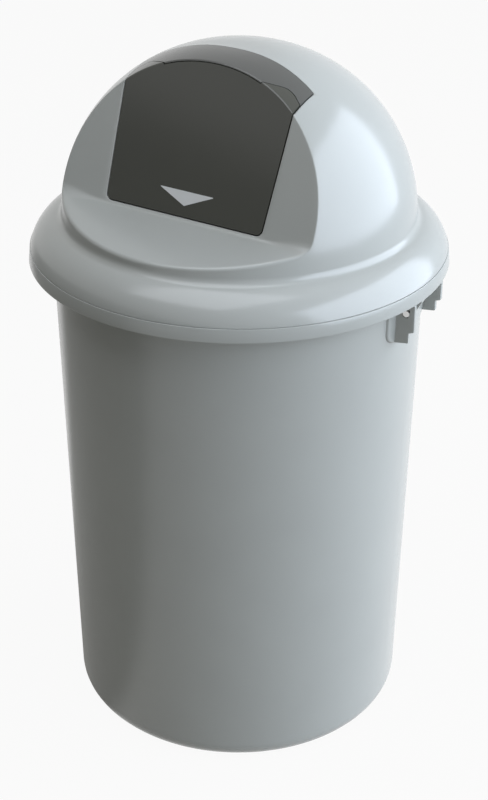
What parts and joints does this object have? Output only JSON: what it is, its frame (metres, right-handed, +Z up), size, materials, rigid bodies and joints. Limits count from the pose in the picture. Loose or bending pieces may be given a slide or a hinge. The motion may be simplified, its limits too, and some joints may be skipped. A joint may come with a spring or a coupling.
{
  "type": "push-flap waste bin",
  "caption": "Round tapered waste bin with a domed hood that has a sprung push flap in a leaning front recess and hinges open on the rim.",
  "frame": {"origin": "centre of the base, on the floor plane", "axes": "+Z up, the front with the flap faces -Y, +X is the hinge side of the hood"},
  "size_m": [0.3942, 0.3942, 0.6772],
  "materials": {
    "grey_plastic": "smooth satin-gloss moulded silver grey",
    "flap_plastic": "fine matte moulded dark grey",
    "cover_plastic": "fine satin moulded mid grey",
    "cap_plastic": "plain moulded",
    "steel": "drawn bright rod",
    "spring_steel": "zinc-plated",
    "bumper_rubber": "soft black rubber"
  },
  "bodies": {
    "bin": {"bin_body": "grey_plastic", "hood_hinge_pin": "steel", "hood_pin_cap": "cap_plastic"},
    "hood": {"hood": "grey_plastic", "flap_cover": "cover_plastic", "flap_axle": "steel", "axle_cap_left": "cap_plastic", "axle_cap_right": "cap_plastic", "flap_spring_left": "spring_steel", "flap_spring_right": "spring_steel", "flap_bumper_left": "bumper_rubber", "flap_bumper_right": "bumper_rubber", "cover_screws": "spring_steel"},
    "flap": {"push_flap": "flap_plastic"}
  },
  "joints": [
    {"name": "hood_hinge", "type": "hinge", "parent": "bin", "child": "hood", "pos_m": [0.17919, 0.0255, 0.4665], "axis": [-0.1409, 0.99, 0], "range_deg": [0, 100]},
    {"name": "flap_swing", "type": "hinge", "parent": "hood", "child": "flap", "pos_m": [0, -0.04715, 0.62971], "axis": [1, 0, 0], "range_deg": [0, 60], "stiffness_Nm_per_rad": 0.022, "springref_deg": -65.32}
  ]
}
